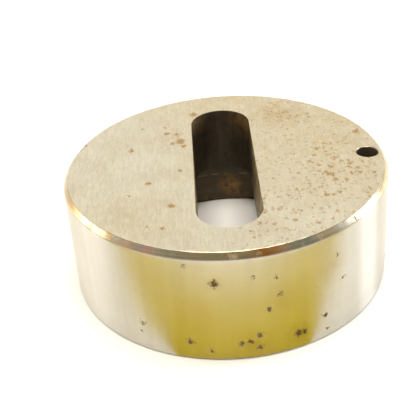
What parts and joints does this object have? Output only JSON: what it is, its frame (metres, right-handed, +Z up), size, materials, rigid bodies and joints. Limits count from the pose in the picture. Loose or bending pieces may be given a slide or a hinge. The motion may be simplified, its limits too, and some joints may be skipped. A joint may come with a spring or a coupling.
{
  "type": "obround punch die",
  "caption": "Round one-piece punch-press die with a straight obround opening, a round slug relief in the base and a key pin hole in the rim.",
  "frame": {"origin": "centre of the base, on the axis of the round body", "axes": "+Z up from the base to the cutting face, +Y along the obround opening, +X towards the key pin hole"},
  "size_m": [0.0698, 0.0698, 0.0254],
  "materials": {
    "tool_steel": "ground"
  },
  "bodies": {
    "root": {"die_body": "tool_steel"}
  },
  "joints": []
}
